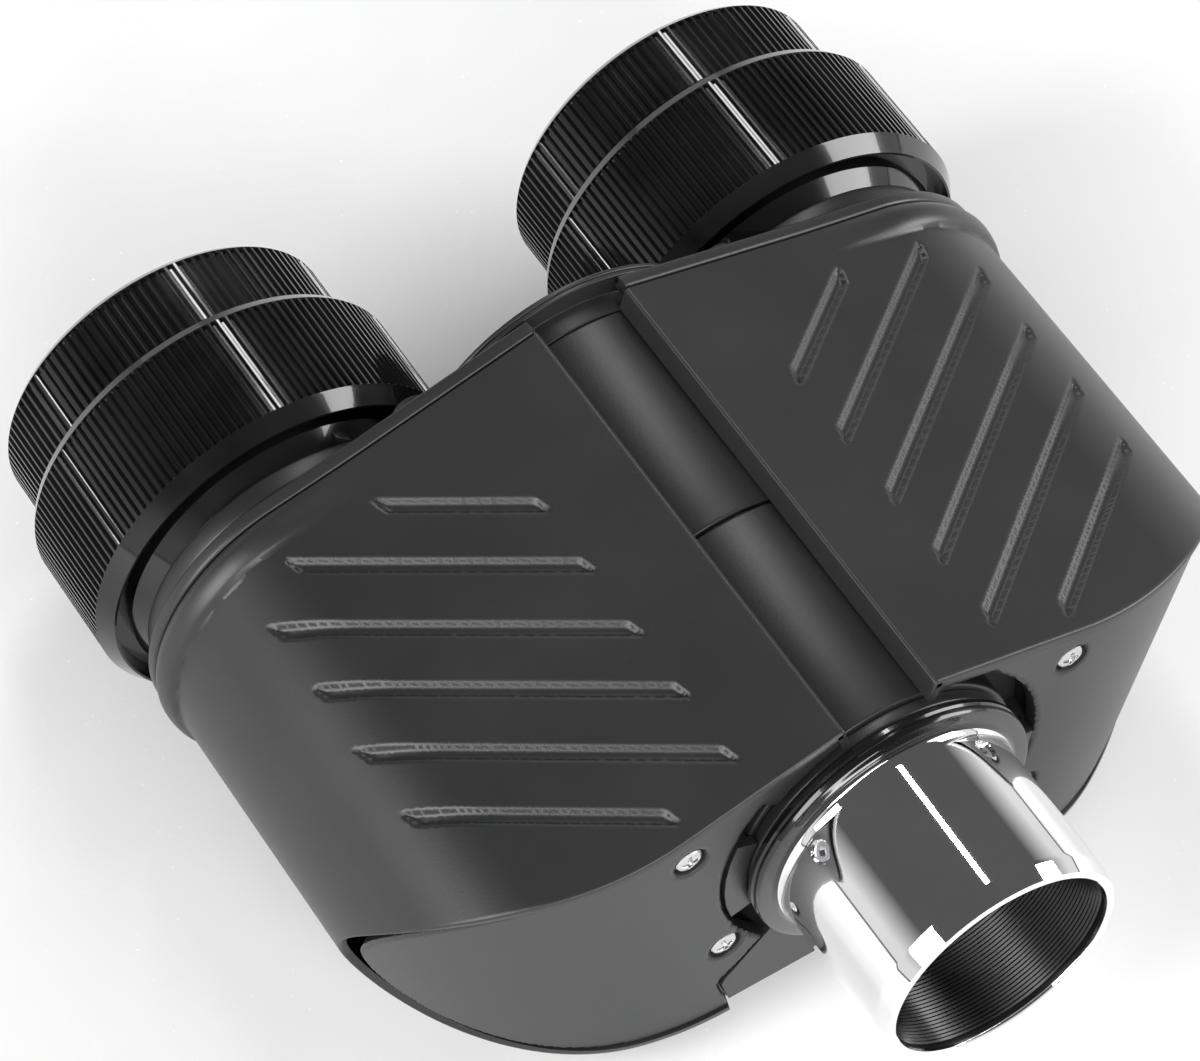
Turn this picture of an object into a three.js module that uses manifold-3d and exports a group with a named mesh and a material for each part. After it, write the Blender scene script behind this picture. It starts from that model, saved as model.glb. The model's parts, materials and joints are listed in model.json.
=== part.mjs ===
// A 1.25 inch binoviewer: two prism housings hinged on the optical axis of one nosepiece.
// Millimetres. The hinge axis is parallel to Y, with the nosepiece at -Y and the eyepieces at +Y.
import * as THREE from "three";
import { mergeVertices } from "three/addons/utils/BufferGeometryUtils.js";
import Module from "manifold-3d";

const wasm = await Module();
wasm.setup();

// ---- driving dimensions; stations along the axis are measured from the nosepiece mouth ----
const NOSE_RADIUS = 15.875; // half of 1.25 inch
const NOSE_BORE = 14.2;
const LENGTH = 129.6; // nosepiece mouth to eyepiece end
const FOLD = THREE.MathUtils.degToRad(15); // each half hangs this far below level
const EYE_OFFSET = 38; // hinge axis to eyepiece axis
const EYE_DROP = 0.8; // eyepiece axis below the housing's middle plane
const HALF_HEIGHT = 22.4; // middle plane to either plate of a housing
const INNER_EDGE = 0.3; // top plate's inner edge to the plane through the hinge
const FRONT = 24.55; // front face of the covers
const CURVE_START = 22; // where the front face starts to curve back
const CURVE_RADIUS = 42.4;
const BACK = 90; // rear edge of the housings
const KNUCKLE_RADIUS = 18.8;
const KNUCKLE_FRONT = 26.1;
const KNUCKLE_SPLIT = 57.5; // between the front and rear knuckle
const WALL = 2.2;
const RUN = 0.1; // radial clearance of what turns or slides
const GAP = 0.3; // clearance beside a neighbour
const SEAT = 0.06; // clearance between pieces fastened together
const WEDGE = THREE.MathUtils.degToRad(45.75); // lower inner wall below the middle plane
const SKIRT_FROM = THREE.MathUtils.degToRad(29);
const SKIRT_TO = THREE.MathUtils.degToRad(62);
const HUB_RADIUS = 18.1;
const POCKET_RADIUS = 21.7;
const RING_RADIUS = 25.37; // knurled focusing ring
const RING_FROM = 99.1;
const RING_TO = 117.4;
const CLAMP_RADIUS = 22.43;
const CLAMP_FROM = 118.5;
const SHOULDER = 22; // flat face that meets the telescope
const SET_SCREW_STATION = 18.8;
const SET_SCREW_ANGLES = [68, 158, 248, 338].map((angle) => THREE.MathUtils.degToRad(angle));
const NECK_RADIUS = 19.06;
const TUBE_RADIUS = 17.86;
const BARREL_RADIUS = 15.95; // takes a 1.25 inch eyepiece
const PRISM = 18; // width of a prism's square face
const ROUND = 32; // sides of a turned piece
// Height of the hinge over the table that the focusing rings rest on.
const HINGE_HEIGHT = EYE_OFFSET * Math.sin(FOLD) + EYE_DROP * Math.cos(FOLD) + RING_RADIUS;
const REACH = 90; // longer than the housings are wide

const deg = THREE.MathUtils.degToRad;

// ---- finishes ----
function finish(color, roughness, metalness) {
  return new THREE.MeshStandardMaterial({ color, roughness, metalness });
}
const paint = finish(0x3a3b3c, 0.55, 0.1);
const anodised = finish(0x121314, 0.28, 0.7);
const chrome = finish(0xe6e7e8, 0.06, 1);
const steel = finish(0xb9bbbd, 0.3, 1);
const brass = finish(0xb08d4a, 0.35, 1);
const glass = finish(0xcfe0e0, 0.03, 0);
const moulding = finish(0x1c1c1d, 0.7, 0);

// ---- closed solids from three.js geometry ----
function solid(geometry) {
  const bare = geometry.index ? geometry.clone() : mergeVertices(geometry.clone());
  bare.deleteAttribute("normal");
  bare.deleteAttribute("uv");
  const merged = mergeVertices(bare, 1e-4);
  const corners = merged.index.array;
  const kept = [];
  for (let i = 0; i < corners.length; i += 3) {
    const [a, b, c] = [corners[i], corners[i + 1], corners[i + 2]];
    if (a !== b && b !== c && c !== a) kept.push(a, b, c);
  }
  const vertProperties = new Float32Array(merged.attributes.position.array);
  const build = (list) =>
    new wasm.Manifold(new wasm.Mesh({ numProp: 3, vertProperties, triVerts: new Uint32Array(list) }));
  const made = build(kept);
  return made.volume() > 0 ? made : build(kept.reverse());
}

function join(...solids) {
  return solids.reduce((whole, next) => whole.add(next));
}

function cut(base, ...tools) {
  return tools.reduce((whole, tool) => whole.subtract(tool), base);
}

function common(...solids) {
  return solids.reduce((whole, next) => whole.intersect(next));
}

function piece(name, shape, material) {
  const made = shape.getMesh();
  const geometry = new THREE.BufferGeometry();
  geometry.setAttribute("position", new THREE.BufferAttribute(made.vertProperties, 3));
  geometry.setIndex(new THREE.BufferAttribute(made.triVerts, 1));
  geometry.computeVertexNormals();
  const mesh = new THREE.Mesh(geometry, material);
  mesh.name = name;
  return mesh;
}

// An outline in (x, z), carried along the axis from one station to another.
function prism(points, from, to) {
  const shape = new THREE.Shape(points.map(([x, z]) => new THREE.Vector2(x, z)));
  const geometry = new THREE.ExtrudeGeometry(shape, { depth: to - from, bevelEnabled: false });
  geometry.rotateX(Math.PI / 2);
  geometry.translate(0, to, 0);
  return solid(geometry);
}

// An outline in (x, y), carried up from one height to another.
function plan(points, low, high) {
  const shape = new THREE.Shape(points.map(([x, y]) => new THREE.Vector2(x, y)));
  const geometry = new THREE.ExtrudeGeometry(shape, { depth: high - low, bevelEnabled: false });
  geometry.translate(0, 0, low);
  return solid(geometry);
}

// A profile of (radius, station) points turned about a line parallel to Y through (x, z).
function turned(profile, x = 0, z = 0, sides = ROUND) {
  const points = [...profile, profile[0]].map(([r, y]) => new THREE.Vector2(r, y));
  const geometry = new THREE.LatheGeometry(points, sides);
  geometry.translate(x, 0, z);
  return solid(geometry);
}

function disc(radius, from, to, x = 0, z = 0, sides = ROUND) {
  return turned([[0, from], [radius, from], [radius, to], [0, to]], x, z, sides);
}

function ring(inner, outer, from, to, x = 0, z = 0, sides = ROUND) {
  return turned([[inner, from], [outer, from], [outer, to], [inner, to]], x, z, sides);
}

function square(half) {
  return [[-half, -half], [half, -half], [half, half], [-half, half]];
}

function arc(cx, cy, radius, start, end, steps) {
  const points = [];
  for (let i = 0; i <= steps; i += 1) {
    const angle = start + ((end - start) * i) / steps;
    points.push([cx + radius * Math.cos(angle), cy + radius * Math.sin(angle)]);
  }
  return points;
}

// The part of the plane beyond `inner` between two polar angles about the hinge axis.
function sector(inner, outer, start, end, from, to) {
  const steps = Math.max(2, Math.round(Math.abs(end - start) / deg(7.5)));
  const outline = [...arc(0, 0, outer, start, end, steps), ...arc(0, 0, inner, end, start, steps)];
  return prism(outline, from, to);
}

// ---- a housing's outer shape, all in its own half frame: x outwards, z square to its plates ----
function section(inset, from, to, inner = INNER_EDGE + inset) {
  const half = HALF_HEIGHT - inset;
  const side = arc(EYE_OFFSET, 0, half, Math.PI / 2, -Math.PI / 2, 20);
  return prism([[inner, half], ...side, [inner, -half]], from, to);
}

// Everything behind the curved front face, moved back by `inset`.
function behindFront(inset) {
  const radius = CURVE_RADIUS - inset;
  const centre = FRONT + CURVE_RADIUS;
  const curve = arc(CURVE_START, centre, radius, -Math.PI / 2, 0, 14);
  const behind = [[CURVE_START + radius, 2 * REACH], [-REACH, 2 * REACH]];
  const outline = [[-REACH, FRONT + inset], ...curve, ...behind];
  return plan(outline, -REACH, REACH);
}

// What lies below the slanted inner wall, moved out by `inset`.
function belowWedge(inset, from, to) {
  const rise = inset / Math.cos(WEDGE);
  const slope = Math.tan(WEDGE);
  const fall = REACH * slope;
  const outline = [[-REACH, fall + rise], [REACH, -fall + rise], [-REACH, -fall]];
  return prism(outline, from, to);
}

const COVER_DEPTH = 2.6; // lip and cover together
const COVER_INSET = 0.35; // cover's face behind the lip's edge
const LOWER_FACE = 26.6; // housing's own front wall, behind the skirt
const FLAT_POCKET = [[2.5, 10], [12, 10], [12, 17.9], [9.8, 19.8], [2.5, 19.8]];
const LIP = 1.1; // housing edge left around a front cover
const KNUCKLE_BORE = 16;
const SLEEVE_RADIUS = 15.2;
const LEDGE_FROM = 50.5; // where the knuckle's bore narrows to hold the sleeve
const REAR_LEDGE = 64;
const REAR_BORE = 17.2;
const WINDOW_HALF = PRISM / 2 + 0.7;
const SPLIT_PLAY = 0.25; // half of the gap between the two knuckles
const CLEAR_RADIUS = KNUCKLE_RADIUS + GAP;

const frontScrews = [[22.5, 16.4], [23.4, -7]];
const rearScrews = [[17.5, 17.6], [21, -16.9]];
const FRONT_BOSS_TO = 31;
const REAR_BOSS_FROM = 80;
const SCREW_SHANK = 1;
const SCREW_HEAD = 1.75;
const SCREW_WELL = 2.1;

// A thin plate on the left half that closes the gap below the hub as the halves fold.
function skirt() {
  const inner = arc(0, 0, CLEAR_RADIUS, -SKIRT_TO, -SKIRT_FROM, 5);
  const outline = [...inner, [25.3, -14.3], [26, -15.1], [26, -19.4], [14.5, -22.3], [11.86, -22.3]];
  return prism(outline, FRONT + 0.3, LOWER_FACE - SEAT);
}

// The opening of the front cover round the hub and past the skirt.
function coverOpening(side) {
  const from = FRONT - 1;
  const to = FRONT + COVER_DEPTH + 1;
  const round = disc(CLEAR_RADIUS, from, to);
  const pocket = sector(5, POCKET_RADIUS, -SKIRT_FROM, deg(side.pocketTop), from, to);
  const made = join(belowSkirtLine(from, to), round, pocket);
  return side.flatPocket ? join(made, prism(FLAT_POCKET, from, to)) : made;
}

// What lies inwards of the skirt's upper edge and the short upright edge that ends it.
function belowSkirtLine(from, to) {
  const edge = [[0, 0], [25.6, -14.2], [26.4, -15], [26.4, -REACH]];
  return prism([...edge, [-REACH, -REACH], [-REACH, 0]], from, to);
}

function housing(side) {
  const [ownFrom, ownTo] = side.ownsFront
    ? [KNUCKLE_FRONT, KNUCKLE_SPLIT - SPLIT_PLAY]
    : [KNUCKLE_SPLIT + SPLIT_PLAY, BACK];
  const [otherFrom, otherTo] = side.ownsFront
    ? [KNUCKLE_SPLIT - SPLIT_PLAY, 2 * REACH]
    : [0, KNUCKLE_SPLIT + SPLIT_PLAY];
  const outside = common(section(0, FRONT - 1, BACK), behindFront(0));
  const beside = cut(outside, belowWedge(0, 0, 2 * REACH), disc(CLEAR_RADIUS, otherFrom, otherTo));
  const behindHub = cut(beside, disc(CLEAR_RADIUS, 0, KNUCKLE_FRONT));
  const whole = join(behindHub, disc(KNUCKLE_RADIUS, ownFrom, ownTo));
  const room = cut(
    common(section(WALL, FRONT, BACK + 1), behindFront(COVER_DEPTH)),
    belowWedge(WALL, 0, 2 * REACH),
    disc(KNUCKLE_RADIUS - GAP, ownFrom - 1, ownTo + 1),
    disc(CLEAR_RADIUS + WALL, otherFrom - 1, otherTo + 1),
    belowSkirtLine(0, LOWER_FACE + WALL),
    disc(4, FRONT, FRONT_BOSS_TO, ...frontScrews[0], 16),
    sector(KNUCKLE_RADIUS - 0.6, 27, deg(-24), deg(-10), FRONT, FRONT_BOSS_TO),
    ...rearScrews.map(([x, z]) => disc(3.2, REAR_BOSS_FROM, BACK + 2, x, z, 12)),
  );
  const mouth = cut(
    section(LIP, FRONT - 2, BACK, -1),
    behindFront(COVER_DEPTH),
    disc(KNUCKLE_RADIUS + RUN, 0, BACK),
    belowSkirtLine(0, BACK),
  );
  const besideKnuckle = cut(section(-1, 0, BACK, -REACH), disc(KNUCKLE_RADIUS + RUN, 0, BACK));
  const lowerFace = common(belowSkirtLine(0, LOWER_FACE), besideKnuckle);
  return bored(cut(whole, room, mouth, lowerFace), side);
}

// The knuckle's bores, the light window and the pockets beside the hub.
function bored(shell, side) {
  const half = WINDOW_HALF;
  const window = [[0, -half], [30, -half], [30, half], [0, half]];
  let made = shell;
  if (side.ownsFront) {
    made = cut(
      made,
      disc(KNUCKLE_BORE, 0, LEDGE_FROM),
      disc(SLEEVE_RADIUS + SEAT, 0, REACH),
      prism(window, 31, 50.2),
      sector(KNUCKLE_RADIUS + 0.2, POCKET_RADIUS, deg(12), deg(60), 0, FRONT + 5.5),
    );
  } else {
    made = cut(
      made,
      disc(SLEEVE_RADIUS + RUN, 0, REACH),
      disc(REAR_BORE, REAR_LEDGE, REACH + 1),
      prism(window, 68.6, BACK + 1),
      sector(KNUCKLE_RADIUS - 1, POCKET_RADIUS, deg(37.5), deg(55.5), 0, FRONT + 4.5),
      sector(KNUCKLE_RADIUS - 1, POCKET_RADIUS, -SKIRT_FROM, deg(-5), 0, FRONT + 4.5),
    );
  }
  const hole = SCREW_SHANK + SEAT;
  const screwHoles = [
    ...frontScrews.map(([x, z]) => disc(hole, 0, FRONT_BOSS_TO + 1, x, z, 8)),
    ...rearScrews.map(([x, z]) => disc(hole, REAR_BOSS_FROM + 2, BACK + 1, x, z, 8)),
  ];
  return cut(made, ...screwHoles, ...ribGrooves());
}

// ---- diagonal ribs pressed into the top plate ----
const RIB_SLOPE = 0.806;
const RIB_X = 12.2;
const RIB_STATIONS = [71.8, 61.9, 51.6, 41.8, 31.8, 21.8];
const RIB_WIDTH = 3.3;
const RIB_DEPTH = 0.6;
const RIB_REAR = 84.6;
const RIB_FRONT = 29.4;
const RIB_OUTER = 46.3;

function ribGrooves() {
  const top = HALF_HEIGHT;
  return RIB_STATIONS.map((station) => {
    const start = Math.max(RIB_X, RIB_X + (RIB_FRONT - station) / RIB_SLOPE);
    const end = Math.min(RIB_OUTER, RIB_X + (RIB_REAR - station) / RIB_SLOPE);
    const line = (x) => station + RIB_SLOPE * (x - RIB_X);
    const upper = [[start, line(start)], [end, line(end)]];
    const lower = [[end, line(end) - RIB_WIDTH], [start, line(start) - RIB_WIDTH]];
    return plan([...upper, ...lower], top - RIB_DEPTH, top + 1);
  });
}

function frontCover(side) {
  const sheet = cut(behindFront(COVER_INSET), behindFront(COVER_DEPTH - SEAT));
  const bent = common(section(LIP + 0.15, FRONT - 1, BACK, INNER_EDGE + GAP), sheet);
  const holes = frontScrews.flatMap(([x, z]) => [
    disc(SCREW_SHANK + SEAT, 0, FRONT + 9, x, z, 8),
    disc(SCREW_WELL, 0, FRONT + 1.2, x, z, 16),
  ]);
  return cut(bent, coverOpening(side), ...holes);
}

// A pan head screw parallel to the axis: `away` is the way its head points, from its seat.
function panScrew(name, x, z, face, away, length) {
  const [rim, crown] = [face + away * 0.6, face + away * 0.95];
  const head = [[SCREW_HEAD, face], [SCREW_HEAD, rim], [1.1, crown], [0, crown]];
  const tip = face - away * length;
  const shank = [[0, tip], [SCREW_SHANK, tip], [SCREW_SHANK, face]];
  return piece(name, turned([...shank, ...head], x, z, 8), steel);
}

// ---- rear end plate, closing a housing; the left one also carries the rear knuckle's flange ----
const PLATE_FROM = BACK + SEAT;
const RIM_TO = 92.2;
const RIM_STEP = 1.6; // rear face inside the rim
const FACE_TO = 95;
const BOSS_FROM = 94.35;
const BOSS_TO = 96.3;
const BOSS_RADIUS = 21;
const FLANGE_RADIUS = 21.6;
const FLANGE_FROM = 92.9;
const FLANGE_TO = 94.2;
const NECK_SEAT = 94.6;
const REAR_HEAD = 93.4; // bottom of the counterbores behind
const eyeX = EYE_OFFSET;
const eyeZ = -EYE_DROP;

function endPlate(side) {
  const rim = section(0, PLATE_FROM, RIM_TO, INNER_EDGE);
  const face = section(RIM_STEP, RIM_TO - 0.1, FACE_TO);
  const plate = cut(join(rim, face), belowWedge(0.4, 0, 2 * REACH));
  const boss = disc(BOSS_RADIUS, BOSS_FROM, BOSS_TO, eyeX, eyeZ);
  const flange = join(
    disc(KNUCKLE_RADIUS, PLATE_FROM, FLANGE_FROM + 0.1),
    disc(FLANGE_RADIUS, FLANGE_FROM, FLANGE_TO),
  );
  const clearance = join(
    disc(CLEAR_RADIUS, 0, FLANGE_FROM),
    disc(FLANGE_RADIUS + GAP, FLANGE_FROM - GAP, FLANGE_TO + 0.2),
  );
  const whole = side.ownsFront ? join(cut(plate, clearance), boss) : join(plate, flange, boss);
  const holes = rearScrews.flatMap(([x, z]) => [
    disc(SCREW_SHANK + SEAT, 0, 2 * REACH, x, z, 8),
    disc(SCREW_WELL, REAR_HEAD, 2 * REACH, x, z, 12),
  ]);
  return cut(
    whole,
    disc(TUBE_RADIUS + GAP, 0, 2 * REACH, eyeX, eyeZ),
    disc(NECK_RADIUS + SEAT, NECK_SEAT, 2 * REACH, eyeX, eyeZ),
    ...holes,
  );
}

// ---- the focusing neck, its turning ring and the sliding eyepiece tube ----
const NECK_TO = 112.5;
const GROOVE_FROM = 110.7;
const GROOVE_TO = 111.7;
const GROOVE_RADIUS = 18.3;
const PIN_STATION = 104;
const TUBE_FROM = 98.4;
const TUBE_END_RADIUS = 17.35;
const COLLET_RADIUS = 16.7;
const PIN_RADIUS = 0.8;

function neck() {
  const inner = TUBE_RADIUS + RUN;
  const wall = turned(
    [
      [inner, NECK_SEAT + SEAT], [NECK_RADIUS, NECK_SEAT + SEAT], [NECK_RADIUS, GROOVE_FROM],
      [GROOVE_RADIUS, GROOVE_FROM], [GROOVE_RADIUS, GROOVE_TO], [NECK_RADIUS, GROOVE_TO],
      [NECK_RADIUS, NECK_TO], [inner, NECK_TO],
    ],
    eyeX, eyeZ,
  );
  return cut(wall, radialPin(PIN_RADIUS + 0.04, 14, 22));
}

// A round bar square to the eyepiece axis, pointing down from it.
function radialPin(radius, from, to, station = PIN_STATION) {
  const bar = new THREE.CylinderGeometry(radius, radius, to - from, 12);
  bar.rotateX(Math.PI / 2);
  bar.translate(eyeX, station, eyeZ - (from + to) / 2);
  return solid(bar);
}

function guidePin() {
  return radialPin(PIN_RADIUS, BARREL_RADIUS + 0.5, NECK_RADIUS - 0.2);
}

function snapRing() {
  const opening = new THREE.BoxGeometry(4, 4, 8);
  opening.translate(eyeX, (GROOVE_FROM + GROOVE_TO) / 2, eyeZ + 19);
  const wire = [GROOVE_FROM + RUN, GROOVE_TO - RUN];
  return cut(ring(GROOVE_RADIUS + SEAT, 20.2, ...wire, eyeX, eyeZ), solid(opening));
}

function focusRing() {
  const inner = NECK_RADIUS + RUN;
  const lip = TUBE_RADIUS + RUN;
  return turned(
    [
      [inner, 96.5], [NECK_RADIUS + 0.6, 96.5], [21.4, RING_FROM], [21.4, 101.3], [23.4, 101.3],
      [23.6, RING_FROM], [23.9, RING_FROM], [RING_RADIUS, 100.3], [RING_RADIUS, 115.8], [24.7, RING_TO],
      [lip, RING_TO], [lip, 113], [20.7, 113], [20.7, 110.4], [inner, 110.4],
    ],
    eyeX, eyeZ,
  );
}

function eyepieceTube() {
  const body = turned(
    [
      [BARREL_RADIUS, TUBE_FROM], [TUBE_RADIUS, TUBE_FROM], [TUBE_RADIUS, 120.5], [TUBE_END_RADIUS, 120.5],
      [TUBE_END_RADIUS, 127.2], [COLLET_RADIUS + SEAT, 127.2], [COLLET_RADIUS + SEAT, 121],
      [BARREL_RADIUS, 121],
    ],
    eyeX, eyeZ,
  );
  const slot = new THREE.BoxGeometry(2 * PIN_RADIUS + 0.3, 7.2, 6);
  slot.translate(eyeX, PIN_STATION - 1.2, eyeZ - 17);
  return cut(body, solid(slot));
}

function collet() {
  const split = new THREE.BoxGeometry(1.4, 20, 4);
  split.translate(eyeX, 124, eyeZ + 16.2);
  return cut(ring(BARREL_RADIUS, COLLET_RADIUS, 121.1, 127.1, eyeX, eyeZ), solid(split));
}

function clampRing() {
  return turned(
    [
      [TUBE_END_RADIUS + RUN, 120.7], [18.2, 120.7], [18.2, CLAMP_FROM], [21.9, CLAMP_FROM],
      [CLAMP_RADIUS, 119.1], [CLAMP_RADIUS, 128.6], [21.4, LENGTH], [BARREL_RADIUS + 0.25, LENGTH],
      [BARREL_RADIUS + 0.25, 127.6], [TUBE_END_RADIUS + RUN, 127.6],
    ],
    eyeX, eyeZ,
  );
}

// ---- prisms and the cells that hold them ----
const SPLITTER_FROM = 31.5;
const SEAT_TOP = -PRISM / 2;
const RHOMB_FROM = 70;

function splitter() {
  return prism(square(PRISM / 2), SPLITTER_FROM, SPLITTER_FROM + PRISM);
}

function splitterCell() {
  const open = PRISM / 2 + SEAT;
  const clear = PRISM / 2 - 1;
  const base = ring(9.5, KNUCKLE_BORE - SEAT, 28.6, SPLITTER_FROM - SEAT);
  const cheeks = common(
    disc(KNUCKLE_BORE - SEAT, SPLITTER_FROM - 1, 49.2),
    join(
      prism([[-REACH, open], [REACH, open], [REACH, REACH], [-REACH, REACH]], SPLITTER_FROM - 1, 49.2),
      prism([[-REACH, -REACH], [REACH, -REACH], [REACH, -open], [-REACH, -open]], SPLITTER_FROM - 1, 49.2),
    ),
  );
  const light = prism(square(clear), 28, SPLITTER_FROM + 1);
  return cut(join(base, cheeks), light);
}

function turningOutline(margin) {
  const [near, farX] = [eyeX - PRISM / 2 - margin, eyeX + PRISM / 2];
  return [[near, SPLITTER_FROM], [farX, SPLITTER_FROM + PRISM], [near, SPLITTER_FROM + PRISM]];
}

function rhomboid() {
  const half = PRISM / 2;
  const [from, to] = [RHOMB_FROM, RHOMB_FROM + PRISM];
  return plan([[-half, from], [eyeX - half, from], [eyeX + half, to], [half, to]], -half, half);
}

// A seat for a prism, standing on the housing's lower wall on posts.
function prismSeat(outline, posts, top) {
  const floor = -HALF_HEIGHT + WALL + SEAT;
  const plate = plan(outline, top - 2.2, top - SEAT);
  return posts.reduce((made, [x, y]) => {
    const post = new THREE.CylinderGeometry(2.2, 2.6, top - 1 - floor, 10);
    post.rotateX(Math.PI / 2);
    post.translate(x, y, (top - 1 + floor) / 2);
    return join(made, solid(post));
  }, plate);
}

// A sprung bridge over a prism, with one leg down to the seat on each side of it.
function prismClip(x, from, to, top) {
  const bridge = new THREE.BoxGeometry(5, to - from + 1.6, 0.8);
  bridge.translate(x, (from + to) / 2, top + SEAT + 0.4);
  const legs = [from - 0.4 - SEAT, to + 0.4 + SEAT].map((y) => {
    const leg = new THREE.BoxGeometry(5, 0.8, PRISM + 0.8);
    leg.translate(x, y, top + SEAT + 0.8 - (PRISM + 0.8) / 2);
    return solid(leg);
  });
  return join(solid(bridge), ...legs);
}

// ---- the hinge, the hub and the nosepiece, which stay with the right half ----
function nosepiece() {
  const fillet = arc(NOSE_RADIUS + 1, SHOULDER - 1, 1, Math.PI, Math.PI / 2, 4);
  const spigot = KNUCKLE_BORE - SEAT;
  const body = turned([
    [NOSE_BORE, 0.5], [14.35, 0], [15.45, 0], [NOSE_RADIUS, 2.1], ...fillet, [18.3, SHOULDER],
    [18.7, SHOULDER + 0.4], [18.7, 23.9], [18.3, 24.3], [spigot, 24.3], [spigot, 28], [NOSE_BORE, 28],
  ]);
  return cut(body, ...SET_SCREW_ANGLES.map((angle) => radialBar(1.3, 10, 20, angle)));
}

// A round bar standing out from the hinge axis at the set screws' station.
function radialBar(radius, from, to, angle, sides = 12) {
  const bar = new THREE.CylinderGeometry(radius, radius, to - from, sides);
  bar.rotateZ(-Math.PI / 2);
  bar.translate((from + to) / 2, SET_SCREW_STATION, 0);
  bar.rotateY(-angle);
  return solid(bar);
}

function baffle() {
  const outer = NOSE_BORE - RUN;
  return turned([[11, 21], [outer, 21], [outer, 27.5], [12.6, 27.5], [12.6, 22], [11, 22]]);
}

function hubPlate() {
  return ring(KNUCKLE_BORE, HUB_RADIUS, 24.36, KNUCKLE_FRONT - SEAT);
}

function hingeSleeve() {
  return ring(13.4, SLEEVE_RADIUS, LEDGE_FROM + 0.2, 68.3);
}

function lobe(start, end) {
  const outer = POCKET_RADIUS - 0.4;
  const [low, high] = [deg(start), deg(end)];
  const lip = sector(KNUCKLE_RADIUS - 0.4, outer, low, high, FRONT + 0.3, KNUCKLE_FRONT - SEAT);
  const foot = [KNUCKLE_FRONT - 1, FRONT + COVER_DEPTH - SEAT];
  return join(lip, sector(CLEAR_RADIUS + RUN, outer, low, high, ...foot));
}

function setScrew(angle) {
  const body = radialBar(1.24, NOSE_BORE + RUN, NOSE_RADIUS - 0.4, angle);
  return cut(body, radialBar(0.6, NOSE_RADIUS - 1.1, 20, angle, 6));
}

// The nut that holds the rear knuckle on the sleeve, with two spanner slots.
function hingeNut() {
  const bar = new THREE.BoxGeometry(2 * REACH, 1.2, 2.4);
  bar.translate(0, 68.2, 0);
  return cut(ring(SLEEVE_RADIUS + SEAT, REAR_BORE - 0.4, 65.2, 68.2), solid(bar));
}

// ---- the two halves ----
const right = { name: "right", ownsFront: true, pocketTop: 60, flatPocket: true };
const left = { name: "left", ownsFront: false, pocketTop: 55.5, flatPocket: false };

function eyepieceParts(side) {
  const group = new THREE.Group();
  group.add(
    piece(side.name + "_focus_neck", neck(), anodised),
    piece(side.name + "_guide_pin", guidePin(), steel),
    piece(side.name + "_ring_retainer", snapRing(), steel),
    piece(side.name + "_focus_ring", focusRing(), anodised),
    piece(side.name + "_eyepiece_tube", eyepieceTube(), anodised),
    piece(side.name + "_clamp_collet", collet(), brass),
    piece(side.name + "_clamp_ring", clampRing(), anodised),
  );
  return group;
}

function halfParts(side) {
  const group = new THREE.Group();
  group.add(
    piece(side.name + "_housing", housing(side), paint),
    piece(side.name + "_front_cover", frontCover(side), paint),
    piece(side.name + "_end_plate", endPlate(side), paint),
    eyepieceParts(side),
  );
  frontScrews.forEach(([x, z], i) => {
    group.add(panScrew(side.name + "_cover_screw_" + (i + 1), x, z, FRONT + 1.15, -1, 4.8));
  });
  rearScrews.forEach(([x, z], i) => {
    group.add(panScrew(side.name + "_plate_screw_" + (i + 1), x, z, REAR_HEAD + 0.05, 1, 8));
  });
  return group;
}

const turningPrism = plan(turningOutline(0), -PRISM / 2, PRISM / 2);
const turningPosts = [[30, 38], [30, 46.5], [35, 46.5]];
const turningSeat = prismSeat(turningOutline(3), turningPosts, SEAT_TOP);
const frictionWasher = ring(SLEEVE_RADIUS + SEAT, 18.2, KNUCKLE_SPLIT - 0.19, KNUCKLE_SPLIT + 0.17);
const waveWasher = ring(SLEEVE_RADIUS + SEAT, REAR_BORE - 0.4, REAR_LEDGE + 0.15, 65.1);
const rightHalf = halfParts(right);
rightHalf.add(
  piece("nosepiece", nosepiece(), chrome),
  piece("nosepiece_baffle", baffle(), moulding),
  piece("hub_plate", hubPlate(), anodised),
  piece("hinge_sleeve", hingeSleeve(), brass),
  piece("hinge_friction_washer", frictionWasher, moulding),
  piece("hinge_wave_washer", waveWasher, steel),
  piece("hinge_nut", hingeNut(), brass),
  piece("right_hub_lobe", lobe(-10, 12), anodised),
  piece("beam_splitter", splitter(), glass),
  piece("beam_splitter_cell", splitterCell(), anodised),
  piece("right_turning_prism", turningPrism, glass),
  piece("right_prism_seat", turningSeat, anodised),
  piece("right_prism_clip", prismClip(33, 32.6, SPLITTER_FROM + PRISM, PRISM / 2), steel),
);
SET_SCREW_ANGLES.forEach((angle, i) => {
  rightHalf.add(piece("nose_set_screw_" + (i + 1), setScrew(angle), steel));
});
rightHalf.rotation.y = FOLD;

const rhomboidOutline = [[21.5, 71], [30, 71], [46, 87], [21.5, 87]];
const rhomboidPosts = [[27.5, 74.5], [27.5, 84], [35, 84]];
const rhomboidSeat = prismSeat(rhomboidOutline, rhomboidPosts, SEAT_TOP);
const leftHalf = halfParts(left);
leftHalf.add(
  piece("left_skirt", skirt(), paint),
  piece("left_hub_lobe", lobe(-3, 37), anodised),
  piece("left_rhomboid_prism", rhomboid(), glass),
  piece("left_prism_seat", rhomboidSeat, anodised),
  piece("left_prism_clip", prismClip(30, RHOMB_FROM, RHOMB_FROM + PRISM, PRISM / 2), steel),
);
leftHalf.rotation.y = -FOLD;
leftHalf.scale.x = -1;

const assembly = new THREE.Group();
assembly.add(rightHalf, leftHalf);
assembly.position.set(0, -LENGTH / 2, HINGE_HEIGHT);

const binoviewer = new THREE.Group();
binoviewer.add(assembly);

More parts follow.
